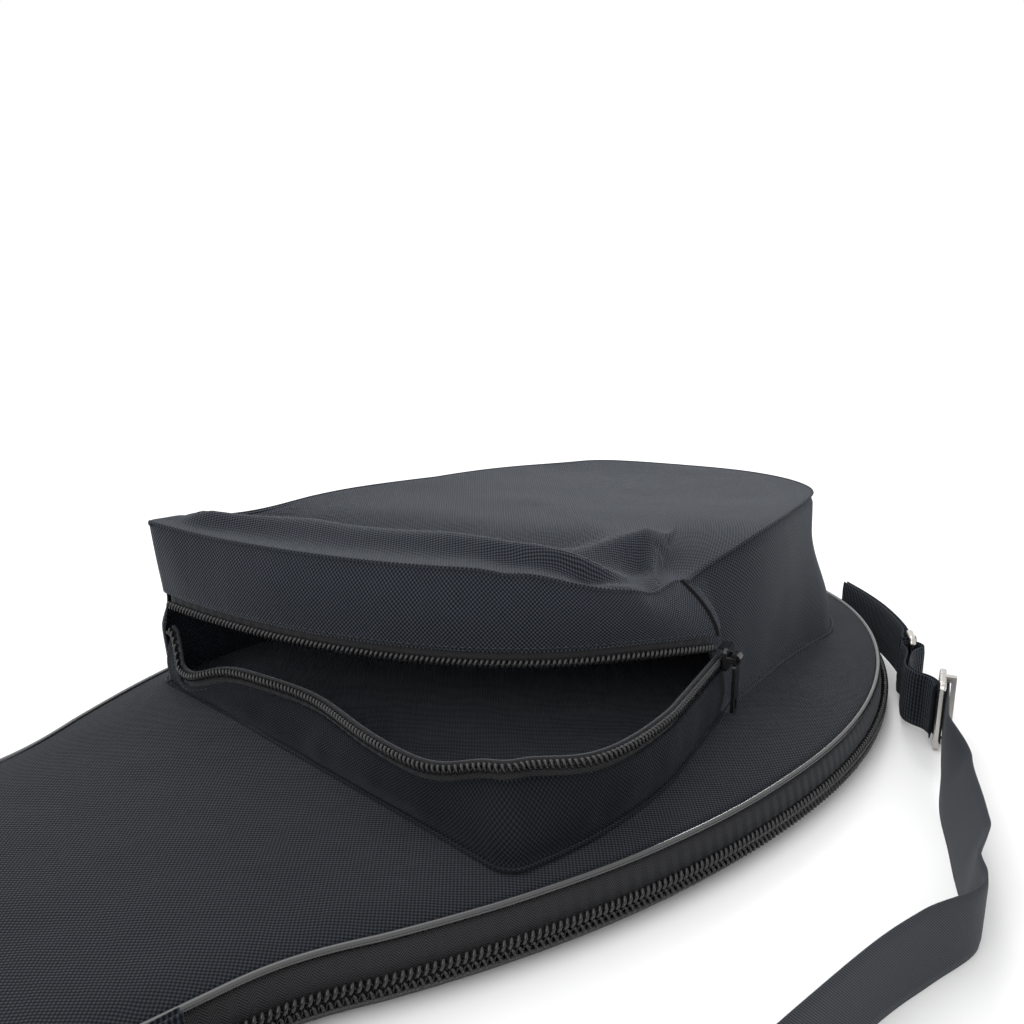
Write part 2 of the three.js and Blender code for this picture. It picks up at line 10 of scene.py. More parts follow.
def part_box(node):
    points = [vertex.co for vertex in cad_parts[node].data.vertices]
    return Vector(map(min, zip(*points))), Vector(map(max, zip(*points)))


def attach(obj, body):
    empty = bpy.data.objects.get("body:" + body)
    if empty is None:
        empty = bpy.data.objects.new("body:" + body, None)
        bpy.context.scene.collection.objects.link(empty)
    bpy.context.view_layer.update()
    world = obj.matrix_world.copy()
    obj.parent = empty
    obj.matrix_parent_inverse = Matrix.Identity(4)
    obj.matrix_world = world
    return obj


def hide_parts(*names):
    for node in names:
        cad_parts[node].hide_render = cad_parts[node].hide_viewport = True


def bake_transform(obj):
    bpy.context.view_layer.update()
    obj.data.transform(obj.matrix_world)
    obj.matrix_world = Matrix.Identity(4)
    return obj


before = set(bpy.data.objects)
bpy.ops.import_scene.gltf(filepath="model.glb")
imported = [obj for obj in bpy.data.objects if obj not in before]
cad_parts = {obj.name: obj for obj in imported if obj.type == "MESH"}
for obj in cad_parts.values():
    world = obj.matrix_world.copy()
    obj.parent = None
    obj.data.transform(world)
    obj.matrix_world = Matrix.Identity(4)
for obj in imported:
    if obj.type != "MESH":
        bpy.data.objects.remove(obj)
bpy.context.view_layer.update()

MM = 0.001

# ------------------------ sizes, and places from the frame
PIPING_R = 1.6 * MM  # of the CAD piping; the case's outline is its centre line
PIPING_CORD_R = 1.2 * MM  # of the cord that is drawn in its place
HEAD_LENGTH = 203 * MM  # from the head's widest line to its tip
HEAD_HALF = 140 * MM
HEAD_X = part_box("back_piping")[1][0] - HEAD_LENGTH - PIPING_R  # the head's widest line
BUTT_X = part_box("back_piping")[0][0] + PIPING_R  # the straight end of the handle sleeve
PANEL_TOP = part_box("front_panel")[1][2]
POCKET_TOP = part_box("pocket_top")[1][2]
LOWER_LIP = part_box("pocket_lower_coil")[1][2]
STRAP_WIDTH = 25 * MM
WEBBING = 1.4 * MM  # thickness of the strap
CLOTH = 1.0 * MM  # thickness of the pocket's cloth
COVER = 0.8 * MM  # thickness of the panels' cloth and of the main zip's tapes
TAPE_WIDTH = 8.9 * MM  # of the pocket's zip
WIRE_R = 0.7 * MM  # of the wire in a zip coil
GAP = 0.3 * MM  # between neighbouring pieces


# ------------------------ lines in plan
def at(x, y):
    """A point given in millimetres from the head's widest line."""
    return (HEAD_X + x * MM, y * MM)


def near_side(point):
    """The same point on the near side of the case, where y is negative."""
    return at(point[0], -point[1])


def straight(a, b, count=12):
    t = np.linspace(0, 1, count)[:, None]
    return np.array(a) * (1 - t) + np.array(b) * t


def quadratic(a, b, c, count=16):
    """A curve from a to c, pulled towards b."""
    t = np.linspace(0, 1, count)[:, None]
    a, b, c = np.array(a), np.array(b), np.array(c)
    return a * (1 - t) ** 2 + 2 * b * t * (1 - t) + c * t**2


def cubic(a, b, c, d, count=48):
    """A curve from a to d, pulled towards b and c."""
    t = np.linspace(0, 1, count)[:, None]
    a, b, c, d = (np.array(p) for p in (a, b, c, d))
    return a * (1 - t) ** 3 + 3 * b * t * (1 - t) ** 2 + 3 * c * t**2 * (1 - t) + d * t**3


def chain(*pieces):
    """The pieces of a line joined end to end, without the doubled points."""
    return np.concatenate([pieces[0]] + [piece[1:] for piece in pieces[1:]])


def smooth_route(points, count):
    """A Catmull-Rom line through the points."""
    p = np.array([points[0], *points, points[-1]], float)
    t = np.linspace(0, 1, 12)[:, None]
    pieces = []
    for i in range(1, len(p) - 2):
        a, b, c, d = p[i - 1], p[i], p[i + 1], p[i + 2]
        squared = 2 * a - 5 * b + 4 * c - d
        cubed = 3 * b - a - 3 * c + d
        pieces.append(0.5 * (2 * b + (c - a) * t + squared * t**2 + cubed * t**3))
    return even(chain(*pieces), count)


def lengths(line):
    """How far along the line each of its points is."""
    return np.concatenate([[0], np.cumsum(np.linalg.norm(np.diff(line, axis=0), axis=1))])


def even(line, count):
    """The line with evenly spaced points."""
    run = lengths(line)
    wanted = np.linspace(0, run[-1], count)
    return np.stack([np.interp(wanted, run, line[:, k]) for k in range(line.shape[1])], axis=1)


def unit(vector):
    return vector / np.linalg.norm(vector)


def normals(line, closed=False):
    """Unit normals in plan, on the right-hand side of the way that the line runs."""
    if closed:
        along = np.roll(line, -1, axis=0) - np.roll(line, 1, axis=0)
    else:
        along = np.gradient(line, axis=0)
    along = along[:, :2] / np.linalg.norm(along[:, :2], axis=1)[:, None]
    return np.stack([along[:, 1], -along[:, 0]], axis=1)


def raised(line, height):
    """A line in plan as a line in space, at a height or at one height for each point."""
    return np.concatenate([line, np.broadcast_to(height, len(line))[:, None]], axis=1)


def mirrored(line):
    """The line on the other side of the case, run the other way."""
    return (line * np.array([1, -1]))[::-1]


def smoothstep(x, low, high):
    """0 up to low, 1 from high on, and a smooth step between them."""
    t = np.clip((x - low) / (high - low), 0, 1)
    return t * t * (3 - 2 * t)


# ------------------------ outline of the case
BUTT_HALF, BUTT_CORNER, CORNER_HALF = 76, 26, 78.6  # the sleeve's end and its corners
ZIP_END = (-258, -80.3)
SLEEVE = (-218, -85.2)  # the sleeve is straight up to here


def butt_half():
    """Half of the sleeve's end, from its middle to the end of the main zip."""
    x = (BUTT_X - HEAD_X) / MM
    return chain(
        straight(at(x, 0), at(x, -BUTT_HALF + BUTT_CORNER)),
        quadratic(at(x, -BUTT_HALF + BUTT_CORNER), at(x, -BUTT_HALF), at(x + BUTT_CORNER, -CORNER_HALF)),
        straight(at(x + BUTT_CORNER, -CORNER_HALF), at(*ZIP_END)),
    )


def zip_half():
    """Half of the main zip's line, from its end on the sleeve to the head's tip."""
    widest = at(0, -HEAD_HALF / MM)
    angle = np.linspace(-math.pi / 2, 0, 80)
    head = np.stack([HEAD_X + HEAD_LENGTH * np.cos(angle), HEAD_HALF * np.sin(angle)], axis=1)
    return chain(
        straight(at(*ZIP_END), at(*SLEEVE)),
        cubic(at(*SLEEVE), at(-205, -87), at(-194, -91.5), at(-180, -99)),
        cubic(at(-180, -99), at(-135, -120), at(-75, -140), widest),
        head,
    )


def case_outline(count):
    half = chain(butt_half(), zip_half())
    loop = chain(half, mirrored(half))
    return even(loop, count + 1)[:-1]


def zip_run(count, tail=0.0):
    """The main zip's line round the head, with a straight tail past each of its ends."""
    line = even(chain(zip_half(), mirrored(zip_half())), count)
    if tail:
        first = line[0] + unit(line[0] - line[1]) * tail
        last = line[-1] + unit(line[-1] - line[-2]) * tail
        line = even(np.concatenate([[first], line, [last]]), count)
    return line


# ------------------------ outline of the ball pocket
MOUTH = -133  # the straight edge that faces the handle
POCKET_HALF, POCKET_CORNER = 107, 7
SIDE = (-50, 109)  # places along its far side, from the mouth to its end
ZIP_STOP = (6, 94)
TAIL = (18.6, 90.6)
BULGE = (62, 87)
SHOULDER = (118, 73)
POCKET_END_X = 150
FLAP_FAR, FLAP_NEAR = (-132.3, 99), (1.5, -92.4)  # the ends of the flap's front edge


def pocket_front(count):
    """From the mouth's far corner across the mouth, and along the near side to the zip's end."""
    h, c = POCKET_HALF, POCKET_CORNER
    return even(
        chain(
            straight(at(MOUTH, h - c), at(MOUTH, -h + c), 60),
            quadratic(at(MOUTH, -h + c), at(MOUTH, -h), at(MOUTH + c, -h - 0.5)),
            quadratic(at(MOUTH + c, -h - 0.5), at(-90, -h - 9), near_side(SIDE)),
            straight(near_side(SIDE), near_side(ZIP_STOP)),
        ),
        count,
    )


def pocket_rear(count):
    """From the zip's end on the near side, round the pocket's end and far side to the mouth."""
    h, c = POCKET_HALF, POCKET_CORNER
    near = chain(
        straight(near_side(ZIP_STOP), near_side(TAIL)),
        quadratic(near_side(TAIL), near_side(BULGE), near_side(SHOULDER), 40),
        cubic(near_side(SHOULDER), at(140, -67), at(POCKET_END_X, -38), at(POCKET_END_X, 0)),
    )
    far = chain(
        straight(at(*ZIP_STOP), at(*SIDE)),
        quadratic(at(*SIDE), at(-90, h + 9), at(MOUTH + c, h + 0.5)),
        quadratic(at(MOUTH + c, h + 0.5), at(MOUTH, h), at(MOUTH, h - c + 1)),
    )
    return even(chain(near, mirrored(near), far), count)


def flap_front(count):
    """The flap's front edge, pushed in, from the mouth's far corner to the zip's end."""
    return even(cubic(at(*FLAP_FAR), at(-119, 20), at(-86, -80), at(*FLAP_NEAR)), count)


# ------------------------ mesh building
def make_object(name, vertices, faces, uvs, body, look, node=None):
    """A smooth mesh piece, with its cloth coordinates in metres, on a body of the frame."""
    mesh = bpy.data.meshes.new(name)
    mesh.from_pydata([tuple(v) for v in vertices], [], faces)
    layer = mesh.uv_layers.new(name="cloth")
    index = np.empty(len(mesh.loops), dtype=np.int32)
    mesh.loops.foreach_get("vertex_index", index)
    layer.data.foreach_set("uv", np.asarray(uvs, dtype=np.float32)[index].ravel())
    mesh.polygons.foreach_set("use_smooth", [True] * len(mesh.polygons))
    mesh.update()
    piece = bpy.data.objects.new(name, mesh)
    bpy.context.scene.collection.objects.link(piece)
    mesh.materials.append(LOOKS[look])
    if body:
        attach(piece, body)
    if node:
        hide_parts(*([node] if isinstance(node, str) else node))
    return piece


def fix_normals(piece, weld=0.0):
    """Turn the piece's faces outwards, once points closer than weld are one."""
    bm = bmesh.new()
    bm.from_mesh(piece.data)
    if weld:
        bmesh.ops.remove_doubles(bm, verts=bm.verts, dist=weld)
    bmesh.ops.recalc_face_normals(bm, faces=bm.faces)
    bm.to_mesh(piece.data)
    bm.free()


def band_faces(rows, columns, close_rows=False, close_columns=False):
    """Faces over a grid of points, which may close on itself either way."""
    last_row = rows if close_rows else rows - 1
    last_column = columns if close_columns else columns - 1
    faces = []
    for i in range(last_row):
        n = (i + 1) % rows
        for j in range(last_column):
            k = (j + 1) % columns
            faces.append((i * columns + j, i * columns + k, n * columns + k, n * columns + j))
    return faces


def sheet_faces(rows, columns, capped=False):
    """Faces of a closed sheet: two like grids, one under the other, with a rim between their last rows."""
    upper = band_faces(rows, columns, close_columns=True)
    if capped:
        upper.append(tuple(range(columns))[::-1])
    count = rows * columns
    lower = [tuple(count + v for v in face)[::-1] for face in upper]
    last = count - columns
    pairs = [(last + j, last + (j + 1) % columns) for j in range(columns)]
    rim = [(a, b, count + b, count + a) for a, b in pairs]
    return upper + lower + rim


def rod_faces(stations, corners):
    """Faces of a tube with a flat cap on each end."""
    faces = band_faces(stations, corners, close_columns=True)
    faces.append(tuple(range(corners))[::-1])
    faces.append(tuple((stations - 1) * corners + j for j in range(corners)))
    return faces


def sweep(name, rings, body, look, node=None, closed=False):
    """A closed body through rings of shape (stations, corners, 3)."""
    stations, corners = rings.shape[:2]
    if closed:
        faces = band_faces(stations, corners, close_rows=True, close_columns=True)
    else:
        faces = rod_faces(stations, corners)
    run = lengths(rings.mean(axis=1))
    around = np.linalg.norm(np.diff(rings[0], axis=0, append=rings[0][:1]), axis=1)
    across = np.concatenate([[0], np.cumsum(around)[:-1]])
    uvs = np.stack(np.meshgrid(run, across, indexing="ij"), axis=-1).reshape(-1, 2)
    piece = make_object(name, rings.reshape(-1, 3), faces, uvs, body, look, node)
    fix_normals(piece)
    return piece


def wall_rings(line, offsets, heights, closed=False):
    """Rings along a line in plan: offsets and heights are (stations, corners)."""
    side = normals(line, closed)
    offsets = np.broadcast_to(offsets, (len(line), np.shape(offsets)[-1]))
    heights = np.broadcast_to(heights, (len(line), np.shape(heights)[-1]))
    plan = line[:, None, :2] + offsets[:, :, None] * side[:, None, :]
    return np.concatenate([plan, heights[:, :, None]], axis=2)


def cloth_wall(name, line, bottom, top, body, look, node, lean, shift=None, rows=10):
    """An upright band of cloth: lean(run, share of height) is how far it stands outwards,
    and shift says how far each place along its top edge is moved."""
    run = lengths(line)[:, None]
    share = np.linspace(0, 1, rows)[None, :]
    bottom = np.broadcast_to(bottom, len(line))[:, None]
    top = np.broadcast_to(top, len(line))[:, None]
    outer = lean(run, share)
    heights = bottom + (top - bottom) * share
    offsets = np.concatenate([outer, (outer - CLOTH)[:, ::-1]], axis=1)
    heights = np.concatenate([heights, heights[:, ::-1]], axis=1)
    rings = wall_rings(line, offsets, heights)
    if shift is not None:
        weight = np.concatenate([share, share[:, ::-1]], axis=1)[0] ** 1.3
        rings = rings + shift[:, None, :] * weight[None, :, None]
    return sweep(name, rings, body, look, node)


def tube(name, path, radius, body, look, node=None, closed=False, sides=8):
    """A round cord along a path in space."""
    if closed:
        along = np.roll(path, -1, axis=0) - np.roll(path, 1, axis=0)
    else:
        along = np.gradient(path, axis=0)
    along /= np.linalg.norm(along, axis=1)[:, None]
    side = np.cross(along, [0, 0, 1.0])
    side /= np.maximum(np.linalg.norm(side, axis=1), 1e-9)[:, None]
    up = np.cross(side, along)
    angle = 2 * math.pi * np.arange(sides) / sides
    rings = path[:, None] + radius * (
        np.cos(angle)[None, :, None] * side[:, None] + np.sin(angle)[None, :, None] * up[:, None]
    )
    return sweep(name, rings, body, look, node, closed)


POINTS_PER_TURN = 10


def coil(name, line, inner, outer, bottom, top, pitch, body, node, sign=1):
    """A zip coil: one wire wound flat along the line. It lies from inner to outer across the line
    and from bottom to top in height, each one number or one for each point; sign is the way it winds."""
    run = lengths(line)
    turns = int(run[-1] / pitch)
    where = np.linspace(0, run[-1], turns * POINTS_PER_TURN)
    angle = 2 * math.pi * where / pitch
    side = normals(line)
    plan = np.stack([np.interp(where, run, line[:, k]) for k in range(2)], axis=1)
    out = np.stack([np.interp(where, run, side[:, k]) for k in range(2)], axis=1)
    low = np.interp(where, run, np.broadcast_to(bottom, len(line))) + WIRE_R
    high = np.interp(where, run, np.broadcast_to(top, len(line))) - WIRE_R
    inner = np.interp(where, run, np.broadcast_to(inner, len(line)))
    outer = np.interp(where, run, np.broadcast_to(outer, len(line)))
    offset = (inner + outer) / 2 + (outer - inner - 2 * WIRE_R) / 2 * np.cos(angle)
    height = (low + high) / 2 + sign * (high - low) / 2 * np.sin(angle)
    path = np.concatenate([plan + offset[:, None] * out, height[:, None]], axis=1)
    return tube(name, path, WIRE_R, body, "zip_coil", node, sides=5)


STITCH_PITCH, STITCH_LENGTH = 3.0 * MM, 2.1 * MM
STITCH_R, STITCH_SIDES = 0.22 * MM, 5
STITCH_TAPER = ((0.0, 0.25), (0.2, 1.0), (0.8, 1.0), (1.0, 0.25))  # shares of its length and radius


def stitch_points(start, end):
    """Points round one short thread, thin at its ends, where it goes into the cloth."""
    along = (end - start) / max(np.linalg.norm(end - start), 1e-9)
    side = np.cross(along, [0, 0, 1.0])
    side /= max(np.linalg.norm(side), 1e-9)
    up = np.cross(side, along)
    points = []
    for share, size in STITCH_TAPER:
        centre = start * (1 - share) + end * share
        for j in range(STITCH_SIDES):
            a = 2 * math.pi * j / STITCH_SIDES
            points.append(centre + STITCH_R * size * (math.cos(a) * side + math.sin(a) * up))
    return points


def stitch_line(name, path, body):
    """A row of sewn stitches along a path in space."""
    run = lengths(path)
    shape = rod_faces(len(STITCH_TAPER), STITCH_SIDES)
    vertices, faces, uvs = [], [], []
    for k in range(int(run[-1] / STITCH_PITCH)):
        middle = (k + 0.5) * STITCH_PITCH
        ends = [middle + s * STITCH_LENGTH / 2 for s in (-1, 1)]
        start, end = (np.array([np.interp(s, run, path[:, j]) for j in range(3)]) for s in ends)
        faces += [tuple(len(vertices) + v for v in face) for face in shape]
        vertices += stitch_points(start, end)
        for share, _ in STITCH_TAPER:
            uvs += [(middle + share * STITCH_LENGTH, STITCH_R * j) for j in range(STITCH_SIDES)]
    piece = make_object(name, vertices, faces, uvs, body, "thread")
    fix_normals(piece)
    return piece


def ripple(point, size, seed=0.0):
    """Smooth noise from -1 to 1 over places of the given size."""
    return noise.noise(Vector((point[0] / size + seed, point[1] / size, point[2] / size)))


def wavy(line, size, seed):
    """Smooth noise along a line, as one column."""
    return np.array([ripple((*p[:2], 0.0), size, seed) for p in line])[:, None]


def field(grid, size, seed):
    """Smooth noise over a grid of points in plan."""
    flat = grid.reshape(-1, grid.shape[-1])
    values = [noise.noise(Vector((p[0] / size + seed, p[1] / size, seed))) for p in flat]
    return np.array(values).reshape(grid.shape[:-1])


def bell(x, middle, width):
    """1 at the middle, fading to nothing at twice the width."""
    return np.exp(-(((x - middle) / width) ** 2))


def nearness(points, centre, reach):
    """The same round a centre, as one column."""
    return bell(np.linalg.norm(points - centre, axis=-1), 0, reach)[..., None]


# ------------------------ materials
MIX_DARK, MIX_LIGHT, MIX_COLOUR = 6, 7, 2  # the colour sockets of a Mix node
THREAD_STRAY = 1.8 * MM  # no thread runs quite straight


def socket_number(tree, operation, a, b=None, c=None):
    """A Math node's result; each operand is a number or another node's socket."""
    node = tree.nodes.new("ShaderNodeMath")
    node.operation = operation
    for index, value in enumerate((a, b, c)):
        if value is None:
            continue
        if isinstance(value, (int, float)):
            node.inputs[index].default_value = value
        else:
            tree.links.new(value, node.inputs[index])
    return node.outputs[0]


def cloth_height(tree, pitch, pattern):
    """Height of the threads, 0 to 1, from the piece's own cloth coordinates."""
    uv = tree.nodes.new("ShaderNodeUVMap")
    uv.uv_map = "cloth"
    split = tree.nodes.new("ShaderNodeSeparateXYZ")
    tree.links.new(uv.outputs[0], split.inputs[0])
    turn = 2 * math.pi / pitch
    along = socket_number(tree, "MULTIPLY", split.outputs[0], turn)
    across = socket_number(tree, "MULTIPLY", split.outputs[1], turn)
    if pattern == "diagonal":
        wave = socket_number(tree, "SINE", socket_number(tree, "ADD", along, across))
    elif pattern == "twill":
        zigzag = socket_number(tree, "PINGPONG", split.outputs[0], 3 * pitch)
        lean = socket_number(tree, "MULTIPLY", zigzag, turn)
        wave = socket_number(tree, "SINE", socket_number(tree, "ADD", lean, across))
    elif pattern == "rib":
        ribs = socket_number(tree, "SINE", along)
        threads = socket_number(tree, "SINE", socket_number(tree, "MULTIPLY", across, 0.8))
        wave = socket_number(tree, "ADD", ribs, socket_number(tree, "MULTIPLY", threads, 0.45))
    else:
        slack = tree.nodes.new("ShaderNodeTexNoise")
        slack.inputs["Scale"].default_value = 50
        tree.links.new(uv.outputs[0], slack.inputs["Vector"])
        stray = socket_number(tree, "MULTIPLY", slack.outputs[0], THREAD_STRAY * turn)
        warp = socket_number(tree, "SINE", socket_number(tree, "ADD", along, stray))
        weft = socket_number(tree, "SINE", socket_number(tree, "ADD", across, stray))
        wave = socket_number(tree, "MULTIPLY", warp, weft)
    return socket_number(tree, "MULTIPLY_ADD", wave, 0.5, 0.5)


def new_material(name):
    material = bpy.data.materials.new(name)
    material.use_nodes = True
    tree = material.node_tree
    return material, tree, tree.nodes["Principled BSDF"]


def grain_spots(tree, scale):
    """Noise over the piece, 0 to 1, with a scale in spots to the metre."""
    place = tree.nodes.new("ShaderNodeTexCoord")
    spot = tree.nodes.new("ShaderNodeTexNoise")
    spot.inputs["Scale"].default_value = scale
    tree.links.new(place.outputs["Object"], spot.inputs["Vector"])
    return spot.outputs[0]


def set_colour(tree, shader, dark, light, share):
    """A colour between dark and light, by a share from another node."""
    mix = tree.nodes.new("ShaderNodeMix")
    mix.data_type = "RGBA"
    mix.inputs[MIX_DARK].default_value = (*dark, 1)
    mix.inputs[MIX_LIGHT].default_value = (*light, 1)
    tree.links.new(share, mix.inputs[0])
    tree.links.new(mix.outputs[MIX_COLOUR], shader.inputs["Base Color"])


def set_relief(tree, shader, height, depth, strength):
    bump = tree.nodes.new("ShaderNodeBump")
    bump.inputs["Strength"].default_value = strength
    bump.inputs["Distance"].default_value = depth
    tree.links.new(height, bump.inputs["Height"])
    tree.links.new(bump.outputs[0], shader.inputs["Normal"])


def textile(
    name, dark, light, pitch, pattern="plain", roughness=0.8, depth=0.12 * MM, sheen=0.22, gloss=0.1
):
    """Woven cloth or webbing: painted light on the tops of its threads and painted shade in the gaps
    between them, and a little cloudy.
    """
    material, tree, shader = new_material(name)
    height = cloth_height(tree, pitch, pattern)
    spots = grain_spots(tree, 140)
    # painted light and shade: the weave's height makes the tops of the threads lighter and the gaps between
    # them darker
    weave_light_and_shade = socket_number(tree, "POWER", height, 1.6)
    cloud = socket_number(tree, "MULTIPLY_ADD", spots, 0.3, 0.85)
    set_colour(tree, shader, dark, light, socket_number(tree, "MULTIPLY", weave_light_and_shade, cloud))
    set_relief(tree, shader, height, depth, 1.0)
    rough = socket_number(tree, "MULTIPLY_ADD", spots, 0.15, roughness - 0.08)
    tree.links.new(rough, shader.inputs["Roughness"])
    shader.inputs["Specular IOR Level"].default_value = gloss
    shader.inputs["Sheen Weight"].default_value = sheen
    shader.inputs["Sheen Roughness"].default_value = 0.35
    shader.inputs["Sheen Tint"].default_value = (0.86, 0.92, 1.0, 1)
    return material


def solid(name, dark, light, roughness, metallic=0.0, grain=900, coat=0.0, depth=0.02 * MM):
    """Metal, nylon, thread or foam: fine grain in its colour, its gloss and its surface."""
    material, tree, shader = new_material(name)
    spots = grain_spots(tree, grain)
    set_colour(tree, shader, dark, light, spots)
    set_relief(tree, shader, spots, depth, 0.4)
    rough = socket_number(tree, "MULTIPLY_ADD", spots, 0.2, roughness - 0.1)
    tree.links.new(rough, shader.inputs["Roughness"])
    shader.inputs["Metallic"].default_value = metallic
    shader.inputs["Coat Weight"].default_value = coat
    return material


def oxford(name, brightness, sheen):
    """The case's cloth, in copies painted lighter or darker: painted light on the pocket's copy and painted
    shade on the lower walls' copy.
    """
    # painted shade: the colour painted in the gaps between the threads
    dark = (0.0018, 0.0022, 0.0032)
    light = tuple(brightness * part for part in (0.81, 0.94, 1.2))
    return textile(name, dark, light, 1.6 * MM, roughness=0.75, depth=0.35 * MM, sheen=sheen)


LOOKS = {
    "oxford": oxford("oxford", 0.037, 0.12),
    # painted light: a lighter copy of the cloth for the pocket's top, walls and flap
    "oxford_pocket_painted_light": oxford("oxford_pocket_painted_light", 0.064, 0.17),
    # painted shade: a darker copy of the cloth for the lower walls, which lie in the flap's shade
    "oxford_lower_painted_shade": oxford("oxford_lower_painted_shade", 0.02, 0.08),
    "lining": textile("lining", (0.004, 0.004, 0.005), (0.012, 0.012, 0.014), 0.5 * MM, roughness=0.7),
    "foam": solid("foam", (0.03, 0.03, 0.034), (0.06, 0.06, 0.065), 0.95, grain=1500, depth=0.2 * MM),
    "piping": textile(
        "piping", (0.01, 0.01, 0.011), (0.03, 0.031, 0.034), 0.5 * MM, "diagonal",
        roughness=0.24, depth=0.001 * MM, sheen=0.0, gloss=1.0,
    ),
    "zip_tape": textile(
        "zip_tape", (0.014, 0.014, 0.015), (0.046, 0.046, 0.049), 0.9 * MM, "twill",
        roughness=0.75, depth=0.1 * MM,
    ),
    "zip_coil": solid("zip_coil", (0.008, 0.008, 0.0085), (0.026, 0.026, 0.028), 0.26),
    "webbing": textile(
        "webbing", (0.02, 0.022, 0.027), (0.056, 0.061, 0.07), 0.9 * MM, "diagonal",
        roughness=0.7, depth=0.08 * MM, sheen=0.06,
    ),
    "webbing_crosswise": textile(
        "webbing_crosswise", (0.002, 0.003, 0.005), (0.03, 0.036, 0.047), 1.5 * MM, "rib",
        roughness=0.7, depth=0.5 * MM, sheen=0.06,
    ),
    "thread": solid("thread", (0.01, 0.011, 0.013), (0.03, 0.032, 0.038), 0.6),
    "black_metal": solid(
        "black_metal", (0.008, 0.008, 0.009), (0.03, 0.03, 0.032), 0.35, metallic=0.6, coat=0.3
    ),
    "nickel": solid("nickel", (0.42, 0.4, 0.38), (0.62, 0.6, 0.57), 0.2, metallic=1.0),
}
METAL = {  # the CAD's own pieces, which stay
    "nickel": ("anchor_ring", "lower_ring", "strap_adjuster"),
    "black_metal": ("main_slider", "main_pull", "pocket_slider", "pocket_pull"),
}


def dress_metal():
    for look, names in METAL.items():
        for name in names:
            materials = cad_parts[name].data.materials
            materials.clear()
            materials.append(LOOKS[look])


# ------------------------ camera
def make_camera():
    """A camera at the photograph's viewing angle."""
    data = bpy.data.cameras.new("camera")
    data.sensor_width = 36
    data.angle = math.radians(54.2)
    data.clip_start = 0.01
    camera = bpy.data.objects.new("camera", data)
    camera.location = (HEAD_X - 0.332, -0.2947, 0.210)
    camera.rotation_euler = (math.radians(75.5), 0, math.radians(-46.7))
    bpy.context.scene.collection.objects.link(camera)
    bpy.context.scene.camera = camera


# ------------------------ strap
# Routes of the webbing's middle, in millimetres from the head's widest line.
STRAP_ROUTE = [
    (102, -153), (91, -157), (58, -169), (34, -177.7), (10, -190), (-6, -198),
    (-22, -207), (-33, -215), (-43, -216.5), (-64, -212), (-91, -207), (-143, -202),
    (-193, -197), (-243, -190), (-293, -180), (-328, -168), (-341, -154), (-330, -143),
    (-298, -141), (-262, -139), (-236, -134), (-227, -124), (-237, -115), (-262, -114),
    (-290, -118), (-313, -120), (-324, -113.5), (-318, -107), (-307, -103),
]
STRAP_FOLD = (-38, -216)  # where it turns over
TAB_ROUTE = [(194, -61), (184, -76), (172, -91), (159, -104), (147, -114), (136, -121)]
LOOP_ROUTE = [  # it ends round the adjuster's middle bar
    (86, -154), (90.5, -152), (94, -147.5), (95, -142), (98, -137), (105, -133), (115, -130), (125.6, -127),
]
LOWER_TAB_ROUTE = [(-236, -91.5), (-246, -91), (-256, -91), (-266, -91)]
LOWER_LOOP_ROUTE = [(-304, -101.5), (-297, -97.7), (-290, -94.8), (-284, -93.2), (-277.9, -92.5)]
THREADED = 41 * MM  # the first stretch stands on the adjuster's lower bar
WEB_BOTTOM = 3.5 * MM  # height of webbing that metal holds up
FLOOR_GAP = 0.3 * MM
LOOP_BAR_R, TAB_BAR_R = 5.2, 3.3  # millimetres from a bar's middle to the webbing round it


def webbing_rings(line, bottom, lean, thickness=WEBBING, columns=9):
    """Webbing on edge with rounded selvedges; lean is how far its top stands out."""
    share = np.linspace(0, 1, columns)[None, :]
    half = thickness / 2 * np.sqrt(np.clip(1 - (2 * share - 1) ** 10, 0.12, 1))
    bottom = np.broadcast_to(bottom, len(line))[:, None]
    lean = np.broadcast_to(lean, len(line))[:, None]
    height = np.sqrt(np.maximum(STRAP_WIDTH**2 - lean**2, 0))
    centre = lean * share
    offsets = np.concatenate([centre + half, (centre - half)[:, ::-1]], axis=1)
    heights = bottom + height * share
    return wall_rings(line, offsets, np.concatenate([heights, heights[:, ::-1]], axis=1))


def strap_lean(run, fold):
    """How far the strap's top edge stands out: one way up to its fold, the other way after it."""
    before = smoothstep(run, THREADED, 1.7 * THREADED)
    before = before * (1 - smoothstep(run, fold - 40 * MM, fold - 8 * MM))
    after = smoothstep(run, fold + 6 * MM, fold + 30 * MM)
    after = after * (1 - smoothstep(run, fold + 90 * MM, fold + 170 * MM))
    return -9 * MM * before + 3 * MM * after


def make_strap():
    """The shoulder strap; the webbing loops that join it to the rings are made on their own."""
    route = smooth_route([at(*p) for p in STRAP_ROUTE], 420)
    run = lengths(route)
    bottom = WEB_BOTTOM + (FLOOR_GAP - WEB_BOTTOM) * smoothstep(run, THREADED, 2 * THREADED)
    fold = run[np.argmin(np.linalg.norm(route - np.array(at(*STRAP_FOLD)), axis=1))]
    rings = webbing_rings(route, bottom, strap_lean(run, fold))
    strap = sweep("shoulder_strap", rings, "case_back", "webbing", "strap")


def eye_line(points, radius, reach=11 * MM):
    """Doubled webbing: along a line, round a bar at its end and back."""
    line = smooth_route(points, 40)
    side = normals(line)
    away = np.minimum(np.linalg.norm(line - line[-1], axis=1) / reach, 1)
    spread = (radius + (WEBBING / 2 + GAP - radius) * away * (2 - away))[:, None]
    ahead = unit(line[-1] - line[-2])
    angle = np.linspace(0, math.pi, 17)[1:-1, None]
    turn = line[-1] + radius * (np.cos(angle) * side[-1] + np.sin(angle) * ahead)
    return chain(line + spread * side, turn, (line - spread * side)[::-1])


